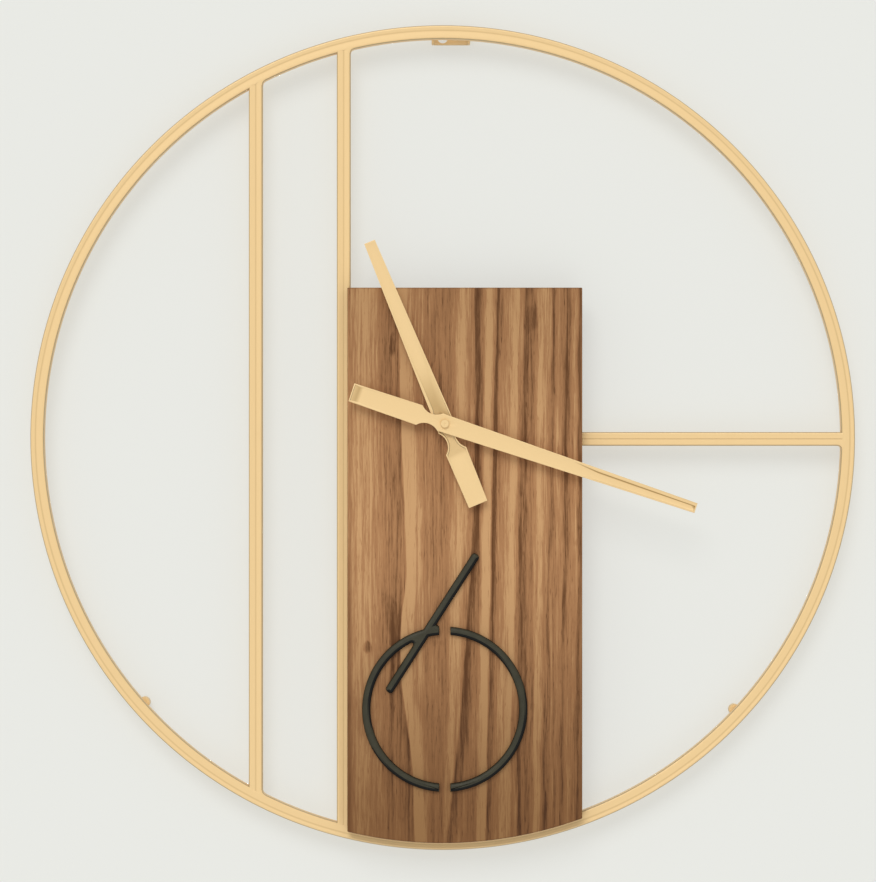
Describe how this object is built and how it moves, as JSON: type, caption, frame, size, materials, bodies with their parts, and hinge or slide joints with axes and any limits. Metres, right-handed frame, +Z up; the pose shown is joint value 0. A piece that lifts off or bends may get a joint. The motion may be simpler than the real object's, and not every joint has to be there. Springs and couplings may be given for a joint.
{
  "type": "wall clock",
  "caption": "Open round wall clock: gold square-tube ring with upright bars, walnut panel with a black numeral six, gold hands and a quartz movement behind.",
  "frame": {"origin": "centre of the hanger's keyhole mouth, on the wall plane", "axes": "+Y into the wall along the keyhole's axis, +Z up, +X to the right seen from the front"},
  "size_m": [0.6, 0.0432, 0.5999],
  "materials": {
    "gold_paint": "satin gold",
    "zinc_steel": "zinc plated",
    "walnut": "satin lacquer",
    "numeral_black": "matte",
    "case_plastic": "fine grain",
    "brass": "turned",
    "rubber": "matte",
    "battery_wrap": "plain printed wrap",
    "contact_plate": "nickel plated",
    "board": "solder resist",
    "copper": "enamelled copper wire",
    "motor_steel": "plain",
    "white_plastic": "moulded"
  },
  "bodies": {
    "frame": {"ring_tube": "gold_paint", "left_bar": "gold_paint", "right_bar": "gold_paint", "cross_bar": "gold_paint", "hanger_bracket": "gold_paint", "wall_pegs": "gold_paint", "panel_tabs": "gold_paint", "tab_screws": "zinc_steel", "cross_bar_screw": "zinc_steel", "wood_panel": "walnut", "numeral_left": "numeral_black", "numeral_right": "numeral_black", "case_front": "case_plastic", "case_back": "case_plastic", "threaded_bush": "brass", "rubber_gasket": "rubber", "bush_washer": "brass", "bush_nut": "brass", "contact_positive": "contact_plate", "contact_negative": "contact_plate", "circuit_board": "board", "quartz_crystal": "contact_plate", "motor_coil": "copper", "stator": "motor_steel", "mid_plate": "white_plastic"},
    "minute_group": {"minute_arbor": "brass", "centre_wheel": "brass", "minute_hand": "gold_paint", "hand_nut": "gold_paint"},
    "hour_group": {"hour_wheel": "white_plastic", "hour_hand": "gold_paint"},
    "motion_group": {"motion_wheel": "white_plastic"},
    "knob_group": {"setting_knob": "case_plastic"},
    "third_group": {"third_wheel": "white_plastic"},
    "second_group": {"second_wheel": "white_plastic"},
    "intermediate_group": {"intermediate_wheel": "white_plastic"},
    "rotor_group": {"rotor": "motor_steel"},
    "battery_group": {"battery": "battery_wrap"}
  },
  "joints": [
    {"name": "minute_turn", "type": "hinge", "parent": "frame", "child": "minute_group", "pos_m": [0.0015, -0.03, -0.28255], "axis": [0, 1, 0], "continuous": true},
    {"name": "hour_turn", "type": "hinge", "parent": "frame", "child": "hour_group", "pos_m": [0.0015, -0.03, -0.28255], "axis": [0, 1, 0], "continuous": true},
    {"name": "motion_turn", "type": "hinge", "parent": "frame", "child": "motion_group", "pos_m": [-0.0085, -0.015, -0.28255], "axis": [0, 1, 0], "continuous": true},
    {"name": "knob_turn", "type": "hinge", "parent": "frame", "child": "knob_group", "pos_m": [-0.01801, -0.008, -0.28564], "axis": [0, 1, 0], "continuous": true},
    {"name": "third_turn", "type": "hinge", "parent": "frame", "child": "third_group", "pos_m": [0.01184, -0.01, -0.27879], "axis": [0, 1, 0], "continuous": true},
    {"name": "second_turn", "type": "hinge", "parent": "frame", "child": "second_group", "pos_m": [0.0015, -0.009, -0.28255], "axis": [0, 1, 0], "continuous": true},
    {"name": "intermediate_turn", "type": "hinge", "parent": "frame", "child": "intermediate_group", "pos_m": [-0.00628, -0.008, -0.27477], "axis": [0, 1, 0], "continuous": true},
    {"name": "rotor_turn", "type": "hinge", "parent": "frame", "child": "rotor_group", "pos_m": [-0.00936, -0.01, -0.26631], "axis": [0, 1, 0], "continuous": true},
    {"name": "battery_slide", "type": "slide", "parent": "frame", "child": "battery_group", "axis": [0, 1, 0], "range_m": [0, 0.018]}
  ],
  "couplings": [
    {"joint": "hour_turn", "follows": "minute_turn", "ratio": 0.083333},
    {"joint": "motion_turn", "follows": "minute_turn", "ratio": -0.33333},
    {"joint": "knob_turn", "follows": "minute_turn", "ratio": 1},
    {"joint": "third_turn", "follows": "minute_turn", "ratio": -8},
    {"joint": "second_turn", "follows": "minute_turn", "ratio": 60},
    {"joint": "intermediate_turn", "follows": "minute_turn", "ratio": -300},
    {"joint": "rotor_turn", "follows": "minute_turn", "ratio": 1800}
  ]
}
